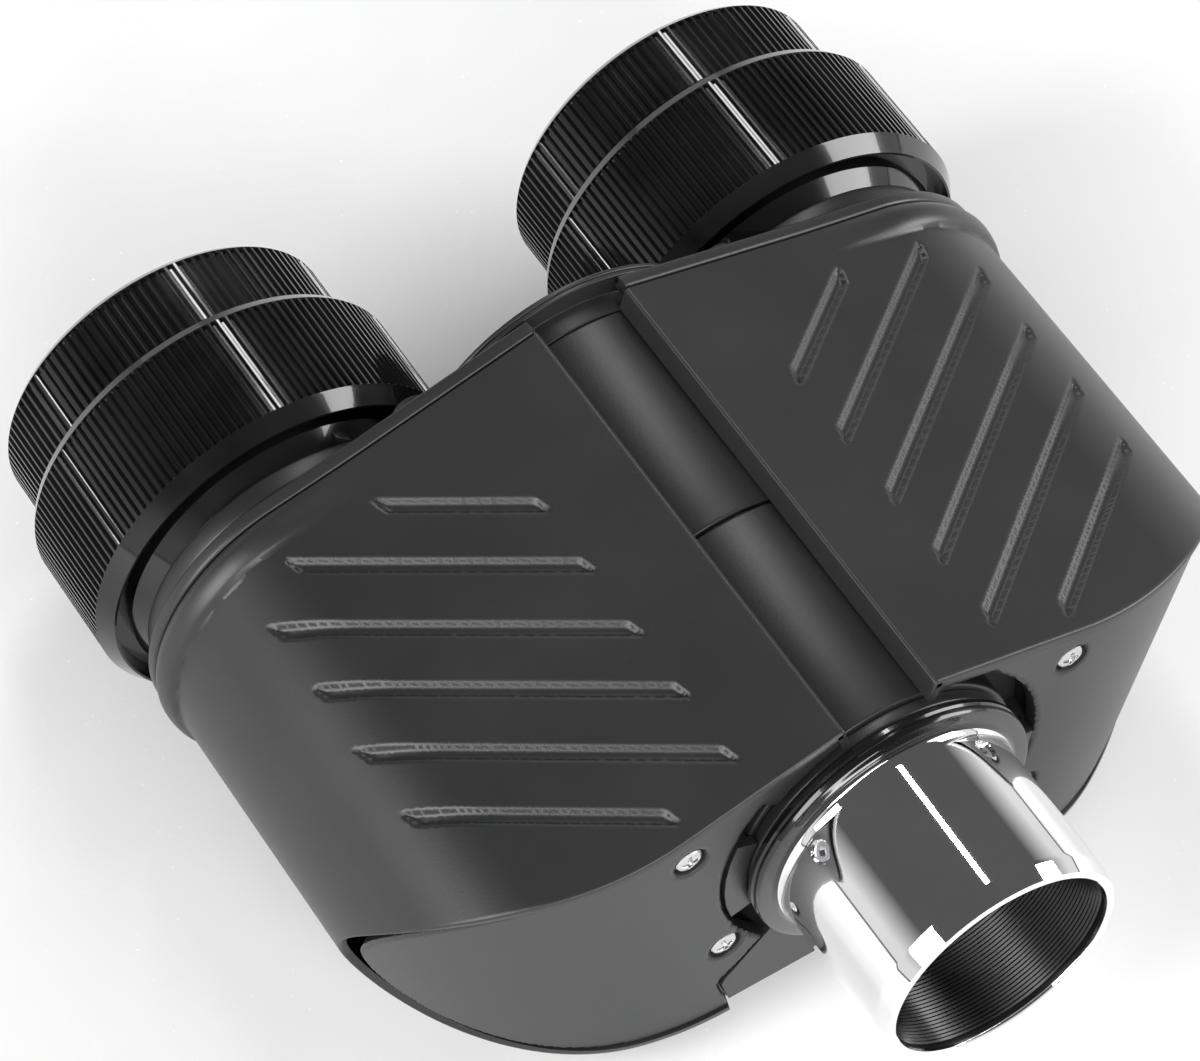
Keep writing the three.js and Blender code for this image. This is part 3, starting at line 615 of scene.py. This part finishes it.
def skin(side, rows=176):
    """Points at (section point, station), moved along the section's normal by lip, channels and flare."""
    line, normal = section_line()
    x, z = line[:, 0][None, :], line[:, 1][None, :]
    nx, nz = normal[:, 0][None, :], normal[:, 1][None, :]
    begin = np.where((z < -14) & (x < 26.4), LOWER_FACE, front_edge(x))
    soft = 0.35
    first = np.array([0.0, 0.07, 0.18, soft])[:, None]
    rest = np.linspace(0, 1, rows)[1:, None]
    y = np.concatenate([begin + first, begin + soft + rest * (BACK - begin - soft)])
    x, z, nx, nz = (np.repeat(a, len(y), 0) for a in (x, z, nx, nz))
    inner = np.stack([x - LIP * nx, y, z - LIP * nz])
    upper = (z > 0) & (x > 1.5) & (x < 58) & (y > begin + 1) & (y < BACK - 0.5)
    for _ in range(2):
        away = from_channels(x, y, CHANNEL_OUTER, CHANNEL_REAR)
        level = np.where(away < -0.5 * CHANNEL_RAMP, -CHANNEL_RAMP, 0.0)
        gap, tiny = away - level, 1e-4
        slope_x = (from_channels(x + tiny, y, CHANNEL_OUTER, CHANNEL_REAR) - away) / tiny
        slope_y = (from_channels(x, y + tiny, CHANNEL_OUTER, CHANNEL_REAR) - away) / tiny
        close = upper & (np.abs(gap) < 0.18)
        x, y = np.where(close, x - gap * slope_x, x), np.where(close, y - gap * slope_y, y)
    past = np.maximum(x - EYE_OFFSET, 0)
    z = np.where(upper, np.sqrt(np.maximum(HALF_HEIGHT**2 - past**2, 0)), z)
    nx = np.where(upper, past / HALF_HEIGHT, nx)
    nz = np.where(upper, z / HALF_HEIGHT, nz)
    above = from_channels(x, y, CHANNEL_OUTER, CHANNEL_REAR)
    below = from_channels(x, y, LOWER_OUTER, LOWER_REAR)
    away = np.where(z > 0, above, below)
    ramp = np.clip(-away / CHANNEL_RAMP, 0, 1)
    depth = CHANNEL_DEPTH * ramp * np.where(np.abs(z) < HALF_HEIGHT - 1, 0.9, 1.0)
    from_start = y - begin
    depth += np.where(from_start < soft, soft - np.sqrt(np.maximum(soft**2 - (soft - from_start)**2, 0)), 0)
    late = np.clip((y - ROLL_FROM) / (BACK - ROLL_FROM), 0, 1)
    rise = np.sqrt(1 - (1 - np.minimum(late / ROLL_PEAK, 1))**2)
    fall = np.maximum(late - ROLL_PEAK, 0) / (1 - ROLL_PEAK)
    depth -= ROLL_HEIGHT * roundness(x) * rise * (1 - 0.5 * fall**2)
    outer = in_half(side, x - depth * nx, y, z - depth * nz).reshape(-1, 3)
    return between(outer, in_half(side, *inner).reshape(-1, 3), grid_quads(*x.shape), NO_TRIANGLES)


# %% [markdown]
# Behind the cover the housing has a round wall about the hinge, with pockets that let the lobes of
# the hub turn, and a plain face behind the skirt. These are mostly hidden, but they are what is seen
# in the gaps. The round wall is black: painted shade for the shadow deep in the pockets.

# %% Surround of the hub
def surround(side, pockets, inner_radius, low=-29.0, high=88.0):
    """A ring profile by angle, whose front face steps back inside each pocket's range of angles."""
    angle = RADIANS(1) * np.linspace(low, high, 235)
    degrees = np.degrees(angle)
    floor = np.full(len(angle), 27.15)
    for start, end, station in pockets:
        floor = np.where((degrees > start) & (degrees < end), station, floor)
    widest = np.minimum(24.0, 21.2 / np.maximum(np.abs(np.sin(angle)), 0.1))
    rim = np.minimum(22.2, widest - 0.1)
    ones = np.ones(len(angle))
    radius = np.stack([inner_radius * ones, inner_radius * ones, rim, rim, widest, widest], -1)
    station = np.stack([45 * ones, floor, floor, 27.15 * ones, 27.15 * ones, 45 * ones], -1)
    x, z = radius * np.cos(angle)[:, None], radius * np.sin(angle)[:, None]
    count = radius.shape[1]
    quads = grid_quads(len(angle), count, False, True)
    last = (len(angle) - 1) * count
    caps = np.array([[0, 1, 2, 3], [0, 3, 4, 5]])
    quads = np.concatenate([quads, caps[:, ::-1], caps + last])
    # Finish 1 is black, painted shade for the shadowed pockets behind the cover.
    return in_half(side, x, station, z).reshape(-1, 3), quads, NO_TRIANGLES, 1


def lower_face(side):
    """The housing's own front wall below the skirt's line, a flat sheet with its own outline."""
    def distance(x, z):
        line = from_polygon(x, z, SKIRT_LINE)
        outside = np.maximum(from_section(x, z, LIP - 0.05), -from_wedge(x, z) + 0.1)
        return np.maximum(np.maximum(line, outside), CLEARANCE + 0.05 - np.hypot(x, z))
    x, z, quads, triangles = cut_sheet(distance, (8, -23), (27, -6), 0.45)
    front, back = in_half(side, x, LOWER_FACE, z), in_half(side, x, LOWER_FACE + 2.2, z)
    return between(front, back, quads, triangles)


# %% Knuckles
def knuckle(side):
    """The round barrel about the hinge; the right half owns the front of it, the left the rear."""
    start, end, bore = (26.1, SPLIT - 0.25, 16.0) if side == "right" else (SPLIT + 0.25, 89.9, 15.4)
    profile = softened([(bore, start), (KNUCKLE, start), (KNUCKLE, end), (bore, end)], 0.35)
    return turned(profile, ABOUT_HINGE, 144)


POCKETS = {"right": [(12, 60, 30.05), (60, 88, 28.6)], "left": [(37.5, 55.5, 29.05), (-29, -5, 29.05)]}
for side in SIDES:
    shells = [skin(side), knuckle(side), lower_face(side),
              surround(side, POCKETS[side], 18.75 if side == "right" else CLEARANCE)]
    add_piece(side + "_housing_shell", shells, [BODY_PAINT, BLACK_AND_PAINTED_SHADE], side + "_half",
              [side + "_housing"], sharp=50)

# %% [markdown]
# ## Front covers
# A cover is a plate bent along the front curve, let in behind the thin edge of the housing. It is a
# sheet in (distance along the curve, height), so the bend comes from the map and not from the grid.

# %% Front covers
def along_front(s):
    """Distance along the plan curve to x: straight first, then an angle round the curve's centre."""
    turn = np.clip((s - CURVE_START) / CURVE_RADIUS, 0, math.pi / 2)
    return np.where(s < CURVE_START, s, CURVE_START + CURVE_RADIUS * np.sin(turn)), turn


def from_cover(x, z, side):
    """Inside the housing's edge, and outside the opening for the hub, its lobes and the skirt."""
    pocket_top = RADIANS(60 if side == "right" else 55.5)
    opening = np.minimum(np.hypot(x, z) - CLEARANCE, from_sector(x, z, POCKET, -SKIRT, pocket_top))
    opening = np.minimum(opening, from_polygon(x, z, SKIRT_LINE))
    if side == "right":
        flat = [(2.5, 10), (12, 10), (12, 17.9), (9.8, 19.8), (2.5, 19.8)]
        opening = np.minimum(opening, from_polygon(x, z, flat))
    made = np.maximum(from_section(x, z, LIP + 0.15, INNER_EDGE + 0.3), -opening)
    for sx, sz in FRONT_SCREWS:
        made = np.maximum(made, SCREW_WELL - np.hypot(x - sx, z - sz))
    return made


def cover(side):
    def distance(s, z):
        return from_cover(along_front(s)[0], z, side)
    s, z, quads, triangles = cut_sheet(distance, (0, -22), (74, 22), 0.36)
    x, turn = along_front(s)
    edge = from_cover(x, z, side)
    soft = 0.3
    dip = np.where(-edge < soft, soft - np.sqrt(np.maximum(soft**2 - np.clip(soft + edge, 0, soft)**2, 0)), 0)
    layers = []
    for inset in (0.35 + dip, 2.5):
        layers.append(in_half(side, x - inset * np.sin(turn), front_edge(x) + inset * np.cos(turn), z))
    return between(layers[0], layers[1], quads, triangles)


def screw_cup(side, sx, sz, rim, floor, radius=2.12):
    """Painted shade, a black counterbore: a thin cup whose lip stands in the hole of the plate."""
    sign = 1 if floor > rim else -1
    outer, inner, under = radius + 0.25, radius - 0.06, floor + sign * 0.4
    profile = [(outer, rim + sign * 0.3), (radius, rim + sign * 0.12), (inner, rim + sign * 0.3),
               (inner, floor), (0.0, floor), (0.0, under), (outer, under)]
    centre = in_half(side, sx, 0.0, sz)
    points, quads, triangles, _ = turned(profile, turn_about(centre[0], centre[2]), 48)
    # Finish 1 is black, painted shade for the recess round the screw head.
    return points, quads, triangles, 1


for side in SIDES:
    cups = [screw_cup(side, sx, sz, FRONT + 0.35, FRONT + 1.4) for sx, sz in FRONT_SCREWS]
    add_piece(side + "_cover_plate", [cover(side)] + cups, [BODY_PAINT, BLACK_AND_PAINTED_SHADE], side + "_half",
              [side + "_front_cover"], sharp=50, weld=True)

# %% [markdown]
# ## Rear end plates
# The plate that closes a housing behind has a bead round its rim and a round boss for the
# focusing neck. A bead is a small profile carried along the section's outline. The plate itself is a
# cut sheet with a sloping shoulder.

# %% End plates
RIM_LIFT, RIM_WIDTH = 0.5, 1.9
RIM_FROM, RIM_TO = 90.35, 92.3
PLATE_INSET = 1.2
PLATE_FROM = 90.1
PLATE_EDGE, PLATE_RISE = 92.0, 2.5
EYE_HOLE = 18.6
BOSS_RADIUS, BOSS_FROM, BOSS_TO = 21.0, 93.6, 96.3
FLANGE_RADIUS, FLANGE_CLEARANCE = 21.6, 21.9
FLANGE_FROM, FLANGE_TO = 92.9, 94.2


def rim_line(step=0.8):
    """The section's outline from the upper inner edge round to the slanted wall."""
    line, normal = section_line(step)
    kept = np.zeros(len(line), bool)
    kept[8:-8] = True
    return line[kept], normal[kept]


def bead(side, profile):
    """A closed profile of (distance outwards, station) carried along the rim, with flat ends."""
    line, normal = rim_line()
    profile = softened(profile, 0.55, 4)
    lift = RIM_LIFT * roundness(line[:, :1]) * (profile[None, :, 0] > -0.7)
    x = line[:, :1] + normal[:, :1] * (profile[None, :, 0] + lift)
    z = line[:, 1:] + normal[:, 1:] * (profile[None, :, 0] + lift)
    x = np.maximum(x, INNER_EDGE)
    count, last = len(profile), (len(line) - 1) * len(profile)
    quads = grid_quads(len(line), count, False, True)
    half = np.arange(1, count // 2)
    cap = np.stack([half - 1, half, count - 1 - half, count - half], -1) % count
    quads = np.concatenate([quads, cap[:, ::-1], cap + last])
    return in_half(side, x, profile[None, :, 1], z).reshape(-1, 3), quads, NO_TRIANGLES, 0


def rear_plate(side):
    def distance(x, z):
        made = np.maximum(from_section(x, z, PLATE_INSET), 0.4 - from_wedge(x, z))
        made = np.maximum(made, EYE_HOLE - np.hypot(x - EYE_OFFSET, z - EYE_DROP))
        for sx, sz in REAR_SCREWS:
            made = np.maximum(made, SCREW_WELL - np.hypot(x - sx, z - sz))
        if side == "right":
            made = np.maximum(made, FLANGE_CLEARANCE - np.hypot(x, z))
        return made
    x, z, quads, triangles = cut_sheet(distance, (0, -23), (61, 23), 0.55)
    rise = np.clip((-from_section(x, z, PLATE_INSET) - 0.7) / 2.6, 0, 1)
    rear = PLATE_EDGE + PLATE_RISE * rise * rise * (3 - 2 * rise)
    return between(in_half(side, x, rear, z), in_half(side, x, PLATE_FROM, z), quads, triangles)


def boss(side):
    corners = [(18.2, BOSS_FROM), (BOSS_RADIUS, BOSS_FROM), (BOSS_RADIUS, BOSS_TO), (18.2, BOSS_TO)]
    return turned(softened(corners, 0.4), ABOUT_EYE[side], 128)


for side in SIDES:
    shells = [rear_plate(side), boss(side),
              bead(side, [(-RIM_WIDTH, RIM_FROM), (0.0, RIM_FROM), (0.0, RIM_TO), (-RIM_WIDTH, RIM_TO)])]
    shells += [screw_cup(side, sx, sz, PLATE_EDGE + PLATE_RISE, 93.35) for sx, sz in REAR_SCREWS]
    if side == "left":
        flange = [(10.5, BACK), (KNUCKLE, BACK), (KNUCKLE, FLANGE_FROM), (FLANGE_RADIUS, FLANGE_FROM),
                  (FLANGE_RADIUS, 93.45), (21.3, 93.55), (FLANGE_RADIUS, 93.65),
                  (FLANGE_RADIUS, FLANGE_TO), (10.5, FLANGE_TO)]
        shells.append(turned(softened(flange, 0.14), ABOUT_HINGE, 144))
    add_piece(side + "_rear_plate", shells, [BODY_PAINT, BLACK_AND_PAINTED_SHADE], side + "_half",
              [side + "_end_plate"], sharp=40, weld=True)

# %% [markdown]
# ## Focusing and clamping rings
# Both rings are turned from bar. The big one has a fine V knurl, the small one flat-topped flutes.
# Teeth are a four-step wave of the angle, and they are cut only into the widest part of a profile.

# %% Rings
def toothed(teeth, depth, widest, low, high):
    """A trapezoid wave round the ring, let in only where the profile is near its widest radius."""
    def shape(radius, station, angle):
        phase = np.round(angle / TAU * teeth * 4) % 4
        valley = (phase >= 2).astype(float)
        cut = (radius > widest - 0.35) & (station >= low) & (station <= high)
        return radius - depth * valley * cut
    return shape


def smooth_ring(corners, side, size):
    return turned(softened(corners, size), ABOUT_EYE[side], 160)


FOCUS_TEETH, CLAMP_TEETH = 138, 112
TOOTH_DEPTH = 0.5
for side in SIDES:
    own = side + "_"
    focus_profile = [(19.2, 96.5), (19.66, 96.5), (21.4, 99.1), (21.4, 101.3), (23.2, 101.3), (23.5, 99.2),
                     (23.7, 98.75), (24.0, 98.75), (25.2, 100.75), (FOCUS_RADIUS, 101.0),
                     (FOCUS_RADIUS, 101.05), (FOCUS_RADIUS, 116.2), (FOCUS_RADIUS, 116.25),
                     (24.75, 117.4), (18.05, 117.4), (18.05, 113.0), (20.7, 113.0), (20.7, 110.5),
                     (19.2, 110.5)]
    knurl = toothed(FOCUS_TEETH, TOOTH_DEPTH, FOCUS_RADIUS, 101.04, 116.22)
    ring = turned(focus_profile, ABOUT_EYE[side], 4 * FOCUS_TEETH, knurl)
    add_piece(own + "knurled_ring", [ring], ANODISED, own + "focus_ring_body", [own + "focus_ring"],
              sharp=28)
    clamp_profile = [(17.5, 120.75), (18.1, 120.75), (18.1, 118.5), (21.8, 118.5), (CLAMP_RADIUS, 119.1),
                     (CLAMP_RADIUS, 119.15), (CLAMP_RADIUS, 128.5), (CLAMP_RADIUS, 128.55),
                     (21.75, 129.35), (21.3, 129.6), (16.6, 129.6), (16.25, 129.25), (16.25, 127.6),
                     (17.5, 127.6)]
    flutes = toothed(CLAMP_TEETH, TOOTH_DEPTH, CLAMP_RADIUS, 119.12, 128.52)
    ring = turned(clamp_profile, ABOUT_EYE[side], 4 * CLAMP_TEETH, flutes)
    add_piece(own + "fluted_ring", [ring], ANODISED, own + "clamp_ring_body", [own + "clamp_ring"],
              sharp=28)
    neck = smooth_ring([(17.98, 92.8), (19.04, 92.8), (19.04, 110.7), (18.32, 110.72), (18.32, 111.7),
                        (19.04, 111.72), (19.04, 112.5), (17.98, 112.5)], side, 0.12)
    add_piece(own + "smooth_neck", [neck], ANODISED, own + "half", [own + "focus_neck"])
    tube = smooth_ring([(15.98, 97), (17.84, 97), (17.84, 120.5), (17.33, 120.52), (17.33, 127.2),
                        (16.78, 127.2), (16.78, 121), (15.98, 121)], side, 0.15)
    add_piece(own + "sliding_tube", [tube], ANODISED, own + "eyepiece_holder", [own + "eyepiece_tube"])

# %% [markdown]
# ## Nosepiece
# A chromed barrel with a polished bevel at its mouth, and a black bore with fine grooves that kill
# stray light. One closed profile is turned. The faces of the bore get a black finish, and so does the
# beaded ring at the base.

# %% Nosepiece
def bore_grooves(start, end, pitch, radius, depth):
    station = np.arange(start, end, pitch / 2)
    return [(radius + depth * (k % 2), at) for k, at in enumerate(station)]


SET_SCREW_ANGLES, SET_SCREW_STATION = (68, 158, 248, 338), 18.8


def set_screw_wells(radius, station, angle):
    """Sinks the outside inside four small circles round the barrel."""
    made = radius
    for degrees in SET_SCREW_ANGLES:
        centre = RADIANS(degrees) - FOLD
        across = (np.mod(angle - centre + math.pi, TAU) - math.pi) * 15.9
        away = np.hypot(across, station - SET_SCREW_STATION) - 1.3
        made = np.where((radius > 15.5) & (away < 0), radius - np.clip(-away / 0.3, 0, 1) * 0.9, made)
    return made


outside = [(14.35, 0.12), (14.5, 0.0), (15.25, 0.0), (15.4, 0.08), (15.82, 1.95), (NOSE_RADIUS, 2.2)]
for straight in (np.arange(2.6, 17.0, 1.2), np.arange(17.2, 20.6, 0.12)):
    outside += [(NOSE_RADIUS, at) for at in straight]
outside += [(15.9, 20.9), (16.0, 21.3), (16.2, 21.65), (16.55, 21.93), (16.9, 22.0), (18.2, 22.0),
            (18.55, 22.1), (18.7, 22.4), (18.72, 22.8), (18.55, 23.1), (18.72, 23.4), (18.7, 23.9),
            (18.5, 24.2), (18.2, 24.3), (15.94, 24.3), (15.94, 28.0)]
bore = [(14.2, 28.0)] + bore_grooves(1.0, 27.5, 0.5, 14.2, 0.16)[::-1] + [(14.25, 0.5)]
AROUND = 480
barrel = turned(outside + bore, ABOUT_HINGE, AROUND, set_screw_wells)
columns = np.tile(np.arange(len(outside) + len(bore)), AROUND)
is_bore = ((columns >= len(outside)) & (columns < len(outside) + len(bore) - 1)).astype(int)
is_base = np.tile([radius > 16.1 for radius, _ in outside] + [False] * len(bore), AROUND)
areas = np.where(is_base, 2, is_bore)
add_piece("chromed_barrel", [(*barrel[:3], areas)], [CHROME, BORE_BLACK, ANODISED], "right_half",
          ["nosepiece"], sharp=28)

# %% Hub plate
hub_profile = [(16.05, 24.4), (17.9, 24.4), (18.1, 24.6), (18.1, 26.03), (16.05, 26.03)]
hub = turned(softened(hub_profile, 0.15), ABOUT_HINGE, 160)
add_piece("hub_disc", [hub], HUB_PAINT, "right_half", ["hub_plate"])

# %% [markdown]
# ## Cross-head screws
# A pan head is a shallow dome with a tapered cross sunk into it. Rings of points run from the middle
# to the rim, and the depth at each comes from the distance to the cross.

# %% Screws
def screw_head(side, sx, sz, face, away, turn):
    """Dome height falls with the square of the radius, less the depth of the cross."""
    radii = np.array([0.0, 0.12, 0.24, 0.36, 0.48, 0.6, 0.75, 0.9, 1.0, 1.1, 1.25, 1.45, 1.6, 1.7, 1.75])
    angle = (np.arange(72) / 72 * TAU)[:, None]
    x, z = radii[None] * np.cos(angle), radii[None] * np.sin(angle)
    height = 0.92 - 0.34 * (radii[None] / 1.75) ** 2.5 - np.where(radii[None] > 1.68, 0.08, 0.0)
    a, b = x * math.cos(turn) + z * math.sin(turn), z * math.cos(turn) - x * math.sin(turn)
    long, short = np.maximum(np.abs(a), np.abs(b)), np.minimum(np.abs(a), np.abs(b))
    inside = np.minimum((1.12 - long) / 0.18, (0.26 - short) / 0.14)
    height = height - 0.5 * np.clip(inside, 0, 1)
    ends = [(1.75, 0.0), (1.0, 0.0), (1.0, -4.0), (0.0, -4.0)]
    x = np.concatenate([x] + [r * np.cos(angle) for r, _ in ends], 1)
    z = np.concatenate([z] + [r * np.sin(angle) for r, _ in ends], 1)
    height = np.concatenate([height] + [np.full_like(angle, h) for _, h in ends], 1)
    points = in_half(side, sx + x, face + away * height, sz + z)
    return points.reshape(-1, 3), grid_quads(72, x.shape[1], True, False), NO_TRIANGLES, 0


for side in SIDES:
    for k, (sx, sz) in enumerate(FRONT_SCREWS, 1):
        add_piece(f"{side}_cover_cross_screw_{k}", [screw_head(side, sx, sz, FRONT + 1.3, -1, 0.5 + 1.3 * k)],
                  STEEL, side + "_half", [f"{side}_cover_screw_{k}"], sharp=40, weld=True)
    for k, (sx, sz) in enumerate(REAR_SCREWS, 1):
        add_piece(f"{side}_plate_cross_screw_{k}", [screw_head(side, sx, sz, 93.4, 1, 0.2 + 0.9 * k)],
                  STEEL, side + "_half", [f"{side}_plate_screw_{k}"], sharp=40, weld=True)
